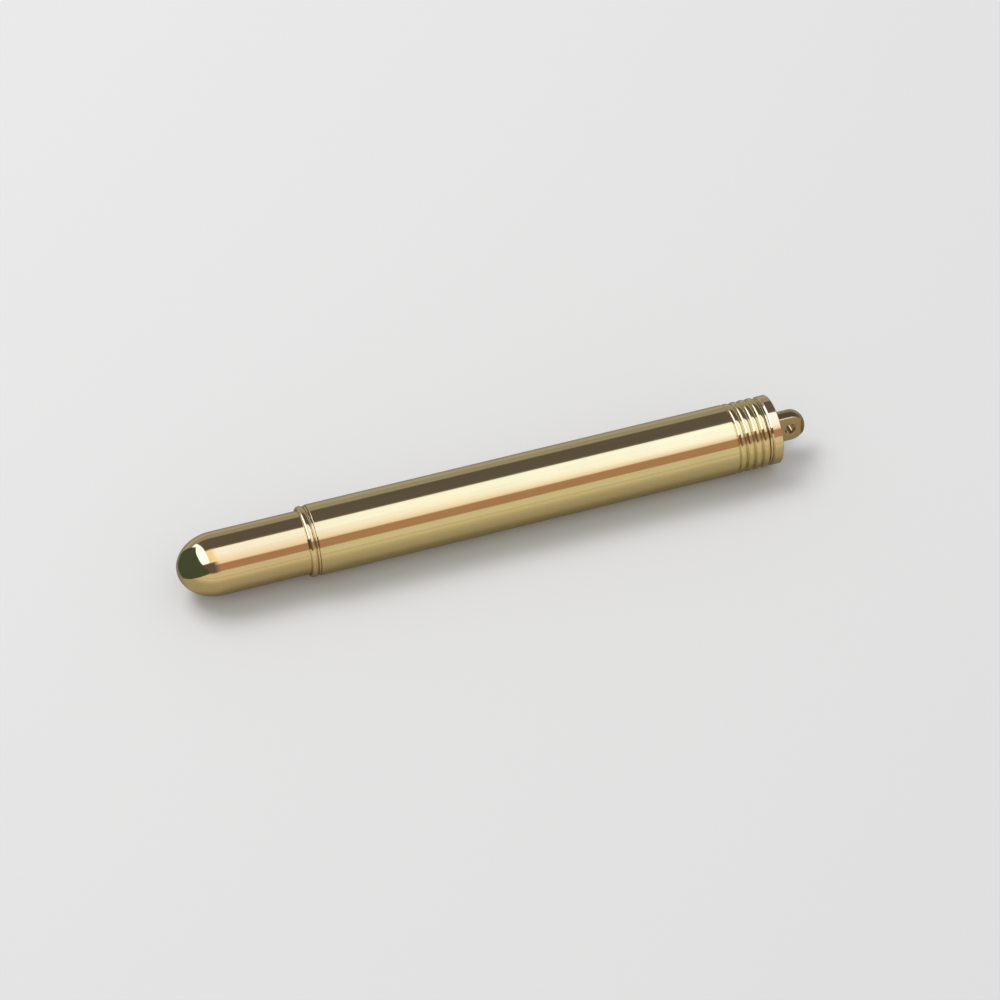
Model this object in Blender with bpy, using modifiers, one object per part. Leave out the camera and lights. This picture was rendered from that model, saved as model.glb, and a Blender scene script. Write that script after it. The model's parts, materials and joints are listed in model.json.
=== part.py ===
"""Compact brass fountain pen with its cap on, modelled as separate parts on one axis.

Run with:  blender --background --python part.py
Blender units are metres. The constants are in millimetres, and MM turns them into metres.
Distances along the pen are measured from the tip of the bullet-shaped barrel end (x_tip = 0)
to the far end of the eyelet. In the world the pen lies along X with the eyelet at +X,
its front is -Y, and the cap's lowest facet rests on Z = 0 with the origin at mid-length.
"""

import math

import bmesh
import bpy
from mathutils import Vector

MM = 0.001

# ---------------------------------------------------------------- driving dimensions, mm
TOTAL_LENGTH = 105.0
SEGMENTS = 32            # facets round the parts that show
INNER_SEGMENTS = 32      # facets round the parts inside
AXIAL_GAP = 0.05         # between faces that meet
CLEARANCE = 0.06         # radial, between parts that fit over one another

# Barrel
BARREL_RADIUS = 5.10     # bullet-shaped end, outside the cap
BULLET_LENGTH = 6.4      # length of the rounded nose
BARREL_TUBE_RADIUS = 4.88
BARREL_BORE = 4.25
BARREL_BORE_BACK = 6.0   # where the bore turns into its rounded bottom
BARREL_END = 48.4
SPIGOT_RADIUS = 5.13     # short step that the cap's mouth grips
SPIGOT_END = 23.6

# Bead ring on the barrel
RING_START = 20.4
RING_END = 21.87
BEAD_WIDTH = 1.1
BEAD_CORE_RADIUS = 5.35
RIM_RADIUS = 5.62

# Cap
CAP_RADIUS = 5.75
CAP_BORE = 5.22
CAP_MOUTH = 21.92
CAP_TUBE_END = 97.3
CAP_LIP_START = 95.8     # inward lip that the inner cap is clamped against
CAP_LIP_BORE = 4.3
RIB_START = 91.95
RIB_COUNT = 4
RIB_DEPTH = 0.42

# Cap end: clip ring, end band, eyelet and its fixings
CLIP_RING_THICKNESS = 0.32
CLIP_RING_RADIUS = 5.42
BAND_END = 99.4
BAND_RADIUS = 5.70
BAND_CHAMFER = 0.25
BAND_PLUG_START = 96.2
EYELET_RADIUS = 2.55
EYELET_DOME = 2.5
EYELET_THICKNESS = 2.3
EYELET_HOLE_RADIUS = 0.95
EYELET_HOLE_AT = 102.3
EYELET_FOOT = 0.35       # round foot left under the flats
EYELET_TURN = -12.0      # degrees the stub is rolled, so its front flat faces slightly up
SHANK_RADIUS = 1.45
SHANK_START = 91.6
WASHER_RADIUS = 2.8
WASHER_THICKNESS = 0.45
NUT_HEIGHT = 1.9
NUT_ACROSS_FLATS = 4.8

# Inner cap
INNER_CAP_MOUTH = 62.5
INNER_CAP_RADIUS = 5.15
INNER_CAP_BORE = 4.6
INNER_CAP_FLOOR = 94.65

# Clip
CLIP_LIFT = 0.6          # gap between strap and cap
CLIP_THICKNESS = 0.75
CLIP_WIDTH = 3.0
CLIP_PAD_LENGTH = 7.7
CLIP_PAD_GAP = 0.05
CLIP_TIP = 54.7
CLIP_BEVEL = 0.12
CLIP_INSET = 0.12        # strap's outer face inside the ear's, so the strap clears the table
CLIP_FLOOR_GAP = 0.05    # under the ear's lower corner

# Section: trim ring, core, grip sleeve, nib housing
TRIM_RING_RADIUS = 4.74
TRIM_RING_BORE = 3.56
TRIM_RING_END = 50.2
CORE_THREAD_START = 43.5
CORE_THREAD_RADIUS = 4.18
CORE_THREAD_END = 48.3
CORE_NECK_RADIUS = 3.5
CORE_TUBE_RADIUS = 3.7
CORE_REAR_BORE = 2.9
CORE_FRONT_BORE = 3.2
CORE_BORE_STEP = 52.9
GRIP_END = 61.4
GRIP_BACK_RADIUS = 4.68
GRIP_FRONT_RADIUS = 4.3
GRIP_LINE_AT = 56.5
GRIP_LINE_WIDTH = 0.35
GRIP_LINE_DEPTH = 0.22
HOUSING_END = 63.6
HOUSING_COLLAR_RADIUS = 4.2
HOUSING_RADIUS = 3.14
HOUSING_START = 53.2
HOUSING_BORE = 2.45
HOUSING_BORE_START = 54.7
NIPPLE_START = 46.0
NIPPLE_RADIUS = 1.3
NIPPLE_BORE = 0.5

# Nib and feed
NIB_START = 56.0
NIB_FLARE = 63.9         # where the nib leaves its round root
NIB_SHOULDER = 67.6
NIB_END = 79.6
NIB_ROOT_RADIUS = 2.16
NIB_ROOT_HALF_ANGLE = math.radians(100)
NIB_SHOULDER_RADIUS = 3.3
NIB_SHOULDER_HALF_WIDTH = 3.05
NIB_TIP_HALF_WIDTH = 0.3
NIB_DROP = 1.35          # how far the crown comes down towards the point
NIB_THICKNESS = 0.24
NIB_ROWS = 22
NIB_COLUMNS = 12
BREATHER_AT = 69.6
BREATHER_RADIUS = 0.5
SLIT_WIDTH = 0.12
TIPPING_RADIUS = 0.3
FEED_START = 55.2
FEED_RADIUS = 1.99
FEED_TAPER_START = 66.0
FEED_END = 76.4
FEED_TIP_RADIUS = 0.75
FEED_TOP_BACK = 1.35     # height of the flat top above the axis, at the housing
FEED_TOP_FRONT = 0.35    # the same at the feed's tip

# Short international cartridge
CARTRIDGE_START = 12.0
CARTRIDGE_RADIUS = 3.65
CARTRIDGE_SHOULDER = 41.8
CARTRIDGE_NECK_START = 43.1
CARTRIDGE_NECK_RADIUS = 2.4
CARTRIDGE_END = 49.5
CARTRIDGE_WALL = 0.45
BALL_RADIUS = 1.2
BALL_AT = 30.0

# Worked out from the above
FLAT = math.cos(math.pi / SEGMENTS)
AXIS_HEIGHT = CAP_RADIUS * FLAT
CLIP_RADIUS = CAP_RADIUS + CLIP_LIFT + CLIP_THICKNESS
CLIP_CORNER = math.hypot(CLIP_RADIUS, CLIP_WIDTH / 2)
CLIP_ANGLE = (math.acos((AXIS_HEIGHT - CLIP_FLOOR_GAP) / CLIP_CORNER)
              + math.atan2(CLIP_WIDTH / 2, CLIP_RADIUS))
CLIP_HINGE_AT = CAP_TUBE_END + CLIP_RING_THICKNESS / 2
CLIP_HINGE_RADIUS = CLIP_RADIUS - CLIP_THICKNESS / 2


# ---------------------------------------------------------------- scene and materials
def clear_scene():
    for obj in list(bpy.data.objects):
        bpy.data.objects.remove(obj, do_unlink=True)


def new_collection(name):
    collection = bpy.data.collections.new(name)
    bpy.context.scene.collection.children.link(collection)
    return collection


def new_material(name, colour, roughness, metallic):
    material = bpy.data.materials.new(name)
    material.use_nodes = True
    shader = material.node_tree.nodes["Principled BSDF"]
    shader.inputs["Base Color"].default_value = (*colour, 1.0)
    shader.inputs["Roughness"].default_value = roughness
    shader.inputs["Metallic"].default_value = metallic
    material.diffuse_color = (*colour, 1.0)
    return material


FINISHES = {
    "polished_brass": ((0.80, 0.60, 0.27), 0.12, 1.0),
    "black_plastic": ((0.018, 0.018, 0.020), 0.35, 0.0),
    "clear_plastic": ((0.55, 0.60, 0.66), 0.25, 0.0),
    "white_plastic": ((0.62, 0.61, 0.58), 0.45, 0.0),
    "steel": ((0.62, 0.62, 0.63), 0.22, 1.0),
}


def finish(obj, name):
    """Give the object a material of its own, in one of the pen's finishes."""
    colour, roughness, metallic = FINISHES[name]
    obj.data.materials.append(new_material(obj.name + "_" + name, colour, roughness, metallic))


# ---------------------------------------------------------------- placing
class Frame:
    """An empty on the pen's axis, whose Z runs along the pen, at a distance from the bullet tip."""

    def __init__(self, name, at, parent=None):
        self.at = at
        self.empty = bpy.data.objects.new(name, None)
        self.empty.empty_display_size = 4 * MM
        PEN.objects.link(self.empty)
        if parent:
            self.empty.parent = parent.empty
            self.empty.location = (0, 0, (at - parent.at) * MM)
        else:
            self.empty.location = ((at - TOTAL_LENGTH / 2) * MM, 0, AXIS_HEIGHT * MM)
            self.empty.rotation_euler = (0, math.pi / 2, 0)

    def hold(self, obj, at, turn=0.0):
        obj.parent = self.empty
        obj.location = (0, 0, (at - self.at) * MM)
        obj.rotation_euler = (0, 0, turn)


# ---------------------------------------------------------------- shapes
def add_object(name, data, collection=None):
    obj = bpy.data.objects.new(name, data)
    (collection or PEN).objects.link(obj)
    return obj


def evaluated_mesh(obj):
    bpy.context.view_layer.update()
    depsgraph = bpy.context.evaluated_depsgraph_get()
    return bpy.data.meshes.new_from_object(obj.evaluated_get(depsgraph))


def bake(obj):
    """Replace the object's data by its evaluated mesh, welded and shaded smooth."""
    mesh = evaluated_mesh(obj)
    shape = bmesh.new()
    shape.from_mesh(mesh)
    bmesh.ops.remove_doubles(shape, verts=shape.verts, dist=0.002 * MM)
    shape.to_mesh(mesh)
    shape.free()
    if obj.type == "CURVE":
        baked = add_object("baked", mesh)
        baked.parent = obj.parent
        baked.matrix_local = obj.matrix_local.copy()
        name = obj.name
        bpy.data.objects.remove(obj, do_unlink=True)
        baked.name = name
        obj = baked
    else:
        obj.modifiers.clear()
        obj.data = mesh
    obj.data.name = obj.name
    obj.data.shade_smooth()
    obj.data.set_sharp_from_angle(angle=math.radians(32))
    return obj


def turned(name, frame, outer, bore=(), segments=SEGMENTS):
    """A lathe part. outer and bore are (distance from the bullet tip, radius), back to front."""
    outline = list(bore) + list(reversed(outer))
    start = min(at for at, _ in outline)
    mesh = bpy.data.meshes.new(name)
    vertices = [(radius * MM, 0, (at - start) * MM) for at, radius in outline]
    edges = [(i, i + 1) for i in range(len(vertices) - 1)]
    if bore and bore[0][1] > 0:
        edges.append((len(vertices) - 1, 0))
    mesh.from_pydata(vertices, edges, [])
    obj = add_object(name, mesh)
    screw = obj.modifiers.new("turn", "SCREW")
    screw.axis = "Z"
    screw.angle = 2 * math.pi
    screw.steps = screw.render_steps = segments
    screw.use_merge_vertices = True
    screw.merge_threshold = 0.001 * MM
    frame.hold(obj, start, turn=math.pi / segments)
    return bake(obj)


def arc(centre_at, centre_radius, length, height, start, end, steps):
    """Points on an ellipse in the turning plane. Angles in degrees, 0 towards the eyelet."""
    points = []
    for i in range(steps + 1):
        angle = math.radians(start + (end - start) * i / steps)
        points.append((centre_at + length * math.cos(angle),
                       centre_radius + height * math.sin(angle)))
    return points


def circle_points(radius, count, turn=0.0):
    angles = [turn + 2 * math.pi * i / count for i in range(count)]
    return [(radius * math.cos(a), radius * math.sin(a)) for a in angles]


def flat_outline(name, outlines, thickness):
    """A flat plate from closed outlines in its own XY plane, thickness centred on it."""
    curve = bpy.data.curves.new(name, "CURVE")
    curve.dimensions = "2D"
    curve.fill_mode = "BOTH"
    curve.extrude = thickness / 2 * MM
    for outline in outlines:
        spline = curve.splines.new("POLY")
        spline.points.add(len(outline) - 1)
        for point, (x, y) in zip(spline.points, outline, strict=True):
            point.co = (x * MM, y * MM, 0, 1)
        spline.use_cyclic_u = True
    return add_object(name, curve)


def box_cutter(name, parent, centre, size):
    mesh = bpy.data.meshes.new(name)
    shape = bmesh.new()
    bmesh.ops.create_cube(shape, size=1.0)
    bmesh.ops.scale(shape, vec=Vector(size) * MM, verts=shape.verts)
    shape.to_mesh(mesh)
    shape.free()
    return place_cutter(add_object(name, mesh, CUTTERS), parent, centre)


def round_cutter(name, parent, centre, radius, length, across=True):
    """A drill. It runs along its parent's Y, or along X when across is False."""
    mesh = bpy.data.meshes.new(name)
    shape = bmesh.new()
    bmesh.ops.create_cone(shape, cap_ends=True, segments=20, radius1=radius * MM,
                          radius2=radius * MM, depth=length * MM)
    shape.to_mesh(mesh)
    shape.free()
    cutter = place_cutter(add_object(name, mesh, CUTTERS), parent, centre)
    cutter.rotation_euler = (math.pi / 2, 0, 0) if across else (0, math.pi / 2, 0)
    return cutter


def place_cutter(cutter, parent, centre):
    cutter.parent = parent
    cutter.location = Vector(centre) * MM
    cutter.hide_render = True
    cutter.display_type = "WIRE"
    return cutter


def cut(obj, cutters):
    for cutter in cutters:
        boolean = obj.modifiers.new(cutter.name, "BOOLEAN")
        boolean.operation = "DIFFERENCE"
        boolean.solver = "EXACT"
        boolean.object = cutter


# ---------------------------------------------------------------- barrel
def make_barrel(frame):
    nose = arc(BULLET_LENGTH, 0, BULLET_LENGTH, BARREL_RADIUS, 180, 90, 10)
    nose[0] = (0, 0)
    outer = nose + [
        (RING_START, BARREL_RADIUS), (RING_START, SPIGOT_RADIUS),
        (SPIGOT_END - 0.15, SPIGOT_RADIUS), (SPIGOT_END, BARREL_TUBE_RADIUS),
        (BARREL_END - 0.2, BARREL_TUBE_RADIUS), (BARREL_END, BARREL_TUBE_RADIUS - 0.2),
    ]
    bottom = arc(BARREL_BORE_BACK, 0, BARREL_BORE, BARREL_BORE, 180, 90, 6)
    bottom[0] = (BARREL_BORE_BACK - BARREL_BORE, 0)
    barrel = turned("barrel_shell", frame, outer, bottom + [(BARREL_END, BARREL_BORE)])
    finish(barrel, "polished_brass")


def make_barrel_ring(frame):
    """Half-round bead with a thin flat rim on the side of the cap."""
    middle = RING_START + BEAD_WIDTH / 2
    bead = arc(middle, BEAD_CORE_RADIUS, BEAD_WIDTH / 2, CAP_RADIUS - BEAD_CORE_RADIUS, 180, 0, 8)
    rim_start = RING_START + BEAD_WIDTH + 0.08
    outer = bead + [(rim_start, RIM_RADIUS), (RING_END, RIM_RADIUS)]
    inside = SPIGOT_RADIUS + CLEARANCE / 2
    bore = [(RING_START, inside), (RING_END, inside)]
    ring = turned("barrel_ring", frame, outer, bore)
    finish(ring, "polished_brass")


# ---------------------------------------------------------------- cap
def rib_profile():
    """Four rounded ribs with V grooves between them, crests level with the tube."""
    pitch = (CAP_TUBE_END - RIB_START) / RIB_COUNT
    points = [(RIB_START - 0.12, CAP_RADIUS)]
    for i in range(RIB_COUNT):
        start = RIB_START + i * pitch
        points.append((start, CAP_RADIUS - RIB_DEPTH))
        points += arc(start + pitch / 2, CAP_RADIUS - RIB_DEPTH * 0.8, pitch * 0.38,
                      RIB_DEPTH * 0.8, 155, 25, 3)
    points.append((CAP_TUBE_END, CAP_RADIUS - RIB_DEPTH))
    return points


def make_cap_tube(frame):
    outer = [(CAP_MOUTH, CAP_RADIUS - 0.12), (CAP_MOUTH + 0.12, CAP_RADIUS)] + rib_profile()
    bore = [(CAP_MOUTH, CAP_BORE), (CAP_LIP_START, CAP_BORE), (CAP_LIP_START, CAP_LIP_BORE),
            (CAP_TUBE_END, CAP_LIP_BORE)]
    finish(turned("cap_tube", frame, outer, bore), "polished_brass")


def make_inner_cap(frame):
    end = CAP_LIP_START - AXIAL_GAP
    hole = SHANK_RADIUS + CLEARANCE
    outer = [(INNER_CAP_MOUTH, INNER_CAP_RADIUS - 0.2), (INNER_CAP_MOUTH + 0.3, INNER_CAP_RADIUS),
             (end, INNER_CAP_RADIUS)]
    bore = [(INNER_CAP_MOUTH, INNER_CAP_BORE), (INNER_CAP_FLOOR, INNER_CAP_BORE),
            (INNER_CAP_FLOOR, hole), (end, hole)]
    finish(turned("inner_cap", frame, outer, bore, INNER_SEGMENTS), "white_plastic")


def make_end_band(frame):
    start = CAP_TUBE_END + CLIP_RING_THICKNESS + 2 * AXIAL_GAP
    plug = CAP_LIP_BORE - CLEARANCE
    hole = SHANK_RADIUS + CLEARANCE
    outer = [(BAND_PLUG_START, plug), (start, plug), (start, BAND_RADIUS - BAND_CHAMFER),
             (start + BAND_CHAMFER, BAND_RADIUS), (BAND_END - 0.12, BAND_RADIUS),
             (BAND_END, BAND_RADIUS - 0.12)]
    bore = [(BAND_PLUG_START, hole), (BAND_END, hole)]
    finish(turned("cap_end_band", frame, outer, bore), "polished_brass")


def make_eyelet(frame):
    """Round stub with a domed end, two flats and a cross hole, on a screw shank."""
    foot = BAND_END + AXIAL_GAP
    dome_centre = TOTAL_LENGTH - EYELET_DOME
    dome = arc(dome_centre, 0, EYELET_DOME, EYELET_RADIUS, 90, 0, 6)
    dome[-1] = (TOTAL_LENGTH, 0)
    outer = [(SHANK_START, 0), (SHANK_START, SHANK_RADIUS), (foot, SHANK_RADIUS),
             (foot, EYELET_RADIUS)] + dome
    eyelet = turned("finial_eyelet", frame, outer, segments=INNER_SEGMENTS)
    rolled = bpy.data.objects.new("eyelet_roll", None)
    PEN.objects.link(rolled)
    rolled.parent = frame.empty
    rolled.rotation_euler = (0, 0, math.radians(EYELET_TURN))
    cutters = [round_cutter("eyelet_hole", rolled, (0, 0, EYELET_HOLE_AT - frame.at),
                            EYELET_HOLE_RADIUS, 4 * EYELET_RADIUS)]
    flat_start = foot + EYELET_FOOT
    flat_length = TOTAL_LENGTH + 1 - flat_start
    for side, name in ((-1, "eyelet_front_flat"), (1, "eyelet_back_flat")):
        centre = (0, side * (EYELET_THICKNESS / 2 + EYELET_RADIUS),
                  flat_start + flat_length / 2 - frame.at)
        size = (4 * EYELET_RADIUS, 2 * EYELET_RADIUS, flat_length)
        cutters.append(box_cutter(name, rolled, centre, size))
    cut(eyelet, cutters)
    finish(eyelet, "polished_brass")


def make_finial_fixings(frame):
    washer_end = INNER_CAP_FLOOR - AXIAL_GAP
    washer_start = washer_end - WASHER_THICKNESS
    hole = SHANK_RADIUS + CLEARANCE
    washer = turned("finial_washer", frame,
                    [(washer_start, WASHER_RADIUS), (washer_end, WASHER_RADIUS)],
                    [(washer_start, hole), (washer_end, hole)], INNER_SEGMENTS)
    finish(washer, "steel")
    hexagon = circle_points(NUT_ACROSS_FLATS / math.sqrt(3), 6)
    nut = flat_outline("finial_nut", [hexagon, circle_points(hole, INNER_SEGMENTS)], NUT_HEIGHT)
    frame.hold(nut, washer_start - AXIAL_GAP - NUT_HEIGHT / 2)
    finish(bake(nut), "steel")


# ---------------------------------------------------------------- clip
def make_clip_ring(frame):
    """Washer with one ear, which carries the strap at its outer end."""
    half_angle = math.asin(CLIP_WIDTH / 2 / CLIP_RING_RADIUS)
    steps = SEGMENTS
    outline = []
    for i in range(steps + 1):
        angle = half_angle + (2 * math.pi - 2 * half_angle) * i / steps
        outline.append((CLIP_RING_RADIUS * math.cos(angle), CLIP_RING_RADIUS * math.sin(angle)))
    outline += [(CLIP_RADIUS, -CLIP_WIDTH / 2), (CLIP_RADIUS, CLIP_WIDTH / 2)]
    hole = circle_points(CAP_LIP_BORE, SEGMENTS)
    ring = flat_outline("clip_ring", [outline, hole], CLIP_RING_THICKNESS)
    frame.hold(ring, CAP_TUBE_END + AXIAL_GAP + CLIP_RING_THICKNESS / 2, turn=CLIP_ANGLE)
    finish(bake(ring), "polished_brass")


def make_clip(frame):
    """Strap along the cap, with a pad at its tip that touches the cap. Its origin is the hinge."""
    hinge = bpy.data.objects.new("clip_hinge", None)
    PEN.objects.link(hinge)
    hinge.parent = frame.empty
    hinge.location = (CLIP_HINGE_RADIUS * math.cos(CLIP_ANGLE) * MM,
                      CLIP_HINGE_RADIUS * math.sin(CLIP_ANGLE) * MM,
                      (CLIP_HINGE_AT - frame.at) * MM)
    hinge.rotation_euler = (0, 0, CLIP_ANGLE)
    top = CLIP_RADIUS - CLIP_INSET - CLIP_HINGE_RADIUS
    under = CLIP_RADIUS - CLIP_THICKNESS - CLIP_HINGE_RADIUS
    touch = CAP_RADIUS + CLIP_PAD_GAP - CLIP_HINGE_RADIUS
    tip = CLIP_TIP - CLIP_HINGE_AT
    root = -0.3
    pad_end = tip + CLIP_PAD_LENGTH
    outline = [
        (root, top), (tip + 1.6, top), (tip + 0.5, top - 0.25), (tip, top - 0.75),
        (tip + 0.6, touch + 0.18), (tip + 1.8, touch), (pad_end - 3.2, touch),
        (pad_end, under), (root, under),
    ]
    clip = flat_outline("clip", [outline], CLIP_WIDTH)
    clip.parent = hinge
    clip.rotation_euler = (-math.pi / 2, -math.pi / 2, 0)
    weld = clip.modifiers.new("weld", "WELD")
    weld.merge_threshold = 0.005 * MM
    bevel = clip.modifiers.new("round edges", "BEVEL")
    bevel.width = CLIP_BEVEL * MM
    bevel.segments = 2
    finish(bake(clip), "polished_brass")


# ---------------------------------------------------------------- section
def make_trim_ring(frame):
    start = BARREL_END + AXIAL_GAP
    outer = [(start, TRIM_RING_RADIUS - 0.12), (start + 0.15, TRIM_RING_RADIUS),
             (TRIM_RING_END - 0.15, TRIM_RING_RADIUS), (TRIM_RING_END, TRIM_RING_RADIUS - 0.12)]
    bore = [(start, TRIM_RING_BORE), (TRIM_RING_END, TRIM_RING_BORE)]
    finish(turned("section_trim_ring", frame, outer, bore, INNER_SEGMENTS), "black_plastic")


def make_section_core(frame):
    """Plastic tube: screwed into the barrel behind, and holding the nib housing in front."""
    outer = [(CORE_THREAD_START, CORE_THREAD_RADIUS - 0.3),
             (CORE_THREAD_START + 0.3, CORE_THREAD_RADIUS),
             (CORE_THREAD_END, CORE_THREAD_RADIUS), (CORE_THREAD_END, CORE_NECK_RADIUS),
             (TRIM_RING_END + AXIAL_GAP, CORE_NECK_RADIUS),
             (TRIM_RING_END + AXIAL_GAP, CORE_TUBE_RADIUS),
             (GRIP_END - AXIAL_GAP, CORE_TUBE_RADIUS)]
    bore = [(CORE_THREAD_START, CORE_REAR_BORE), (CORE_BORE_STEP, CORE_REAR_BORE),
            (CORE_BORE_STEP, CORE_FRONT_BORE), (GRIP_END - AXIAL_GAP, CORE_FRONT_BORE)]
    finish(turned("section_core", frame, outer, bore, INNER_SEGMENTS), "black_plastic")


def make_grip_sleeve(frame):
    start = TRIM_RING_END + AXIAL_GAP

    def radius(at):
        share = (at - start) / (GRIP_END - start)
        return GRIP_BACK_RADIUS + (GRIP_FRONT_RADIUS - GRIP_BACK_RADIUS) * share

    line_start = GRIP_LINE_AT - GRIP_LINE_WIDTH / 2
    line_end = GRIP_LINE_AT + GRIP_LINE_WIDTH / 2
    outer = [(start, GRIP_BACK_RADIUS - 0.15), (start + 0.15, radius(start + 0.15)),
             (line_start, radius(line_start)),
             (GRIP_LINE_AT, radius(GRIP_LINE_AT) - GRIP_LINE_DEPTH),
             (line_end, radius(line_end)),
             (GRIP_END - 0.15, radius(GRIP_END - 0.15)), (GRIP_END, GRIP_FRONT_RADIUS - 0.15)]
    inside = CORE_TUBE_RADIUS + CLEARANCE
    bore = [(start, inside), (GRIP_END, inside)]
    finish(turned("grip_sleeve", frame, outer, bore, INNER_SEGMENTS), "polished_brass")


def make_nib_housing(frame):
    """Collar and socket for nib and feed, with the nipple that opens the cartridge."""
    collar = GRIP_END + AXIAL_GAP
    outer = [(NIPPLE_START, NIPPLE_RADIUS - 0.3), (NIPPLE_START + 0.5, NIPPLE_RADIUS),
             (HOUSING_START, NIPPLE_RADIUS), (HOUSING_START, HOUSING_RADIUS),
             (collar, HOUSING_RADIUS), (collar, HOUSING_COLLAR_RADIUS),
             (HOUSING_END - 0.35, HOUSING_COLLAR_RADIUS - 0.1),
             (HOUSING_END, HOUSING_COLLAR_RADIUS - 0.45)]
    bore = [(NIPPLE_START, NIPPLE_BORE), (HOUSING_BORE_START, NIPPLE_BORE),
            (HOUSING_BORE_START, HOUSING_BORE), (HOUSING_END, HOUSING_BORE)]
    finish(turned("nib_housing", frame, outer, bore, INNER_SEGMENTS), "black_plastic")


# ---------------------------------------------------------------- nib and feed
def blend(share):
    """Smooth step from 0 to 1."""
    share = min(max(share, 0.0), 1.0)
    return share * share * (3 - 2 * share)


def nib_section(at):
    """Radius, half angle and crown height of the nib's curved section, at a distance in mm."""
    flare = blend((at - NIB_FLARE) / (NIB_SHOULDER - NIB_FLARE))
    radius = NIB_ROOT_RADIUS + (NIB_SHOULDER_RADIUS - NIB_ROOT_RADIUS) * flare
    shoulder_angle = math.asin(NIB_SHOULDER_HALF_WIDTH / NIB_SHOULDER_RADIUS)
    half_angle = NIB_ROOT_HALF_ANGLE + (shoulder_angle - NIB_ROOT_HALF_ANGLE) * flare
    if at > NIB_SHOULDER:
        left = 1 - (at - NIB_SHOULDER) / (NIB_END - NIB_SHOULDER)
        width = NIB_TIP_HALF_WIDTH + (NIB_SHOULDER_HALF_WIDTH - NIB_TIP_HALF_WIDTH) * left ** 0.85
        half_angle = math.asin(width / radius)
    forward = max(at - NIB_FLARE, 0) / (NIB_END - NIB_FLARE)
    crown = NIB_ROOT_RADIUS - NIB_DROP * forward ** 1.3
    return radius, half_angle, crown


def make_nib(frame):
    vertices = []
    for i in range(NIB_ROWS + 1):
        at = NIB_START + (NIB_END - NIB_START) * i / NIB_ROWS
        radius, half_angle, crown = nib_section(at)
        for j in range(NIB_COLUMNS + 1):
            angle = half_angle * (2 * j / NIB_COLUMNS - 1)
            height = crown - radius * (1 - math.cos(angle))
            vertices.append((-height * MM, radius * math.sin(angle) * MM, (at - NIB_START) * MM))
    across = NIB_COLUMNS + 1
    faces = [(i * across + j, (i + 1) * across + j, (i + 1) * across + j + 1, i * across + j + 1)
             for i in range(NIB_ROWS) for j in range(NIB_COLUMNS)]
    mesh = bpy.data.meshes.new("nib")
    mesh.from_pydata(vertices, [], faces)
    nib = add_object("nib", mesh)
    frame.hold(nib, NIB_START)
    thicken = nib.modifiers.new("sheet", "SOLIDIFY")
    thicken.thickness = NIB_THICKNESS * MM
    thicken.offset = 0
    nib = bake(nib)
    slit_length = NIB_END + 1 - BREATHER_AT
    slit_middle = BREATHER_AT + slit_length / 2 - frame.at
    cut(nib, [
        round_cutter("breather_hole", frame.empty, (-NIB_ROOT_RADIUS, 0, BREATHER_AT - frame.at),
                     BREATHER_RADIUS, 2 * NIB_ROOT_RADIUS, across=False),
        box_cutter("slit", frame.empty, (-NIB_ROOT_RADIUS / 2, 0, slit_middle),
                   (2 * NIB_ROOT_RADIUS, SLIT_WIDTH, slit_length)),
    ])
    finish(nib, "steel")
    make_tipping(frame)


def make_tipping(frame):
    _, _, crown = nib_section(NIB_END)
    mesh = bpy.data.meshes.new("nib_tipping")
    shape = bmesh.new()
    bmesh.ops.create_uvsphere(shape, u_segments=12, v_segments=8, radius=TIPPING_RADIUS * MM)
    shape.to_mesh(mesh)
    shape.free()
    tipping = add_object("nib_tipping", mesh)
    frame.hold(tipping, NIB_END + TIPPING_RADIUS + AXIAL_GAP)
    tipping.location.x = -crown * MM
    tipping.data.shade_smooth()
    finish(tipping, "steel")


def make_feed(frame):
    """Round tail in the housing, tapering under the nib, with a sloping flat top."""
    outer = [(FEED_START, 0), (FEED_START, FEED_RADIUS), (FEED_TAPER_START, FEED_RADIUS),
             (FEED_END - 1.0, FEED_TIP_RADIUS + 0.12), (FEED_END, FEED_TIP_RADIUS * 0.6),
             (FEED_END, 0)]
    feed = turned("feed", frame, outer, segments=24)
    run = FEED_END - HOUSING_END
    slope = math.atan2(FEED_TOP_BACK - FEED_TOP_FRONT, run)
    middle_height = (FEED_TOP_BACK + FEED_TOP_FRONT) / 2 + FEED_RADIUS
    cutter = box_cutter("feed_top", frame.empty,
                        (-middle_height, 0, (HOUSING_END + FEED_END) / 2 + 1 - frame.at),
                        (2 * FEED_RADIUS, 4 * FEED_RADIUS, run + 2))
    cutter.rotation_euler = (0, slope, 0)
    cut(feed, [cutter])
    finish(feed, "black_plastic")


# ---------------------------------------------------------------- cartridge
def make_cartridge(frame):
    inner_radius = CARTRIDGE_RADIUS - CARTRIDGE_WALL
    neck_bore = CARTRIDGE_NECK_RADIUS - CARTRIDGE_WALL
    mouth_bore = NIPPLE_RADIUS + CLEARANCE
    outer = [(CARTRIDGE_START, 0), (CARTRIDGE_START, CARTRIDGE_RADIUS - 0.5),
             (CARTRIDGE_START + 0.5, CARTRIDGE_RADIUS), (CARTRIDGE_SHOULDER, CARTRIDGE_RADIUS),
             (CARTRIDGE_NECK_START, CARTRIDGE_NECK_RADIUS),
             (CARTRIDGE_END, CARTRIDGE_NECK_RADIUS)]
    floor = CARTRIDGE_START + CARTRIDGE_WALL
    bore = [(floor, 0), (floor, inner_radius - 0.3), (floor + 0.3, inner_radius),
            (CARTRIDGE_SHOULDER, inner_radius), (CARTRIDGE_NECK_START, neck_bore),
            (CARTRIDGE_END - 2.0, neck_bore), (CARTRIDGE_END - 2.0, mouth_bore),
            (CARTRIDGE_END, mouth_bore)]
    finish(turned("ink_cartridge", frame, outer, bore, INNER_SEGMENTS), "clear_plastic")


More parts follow.
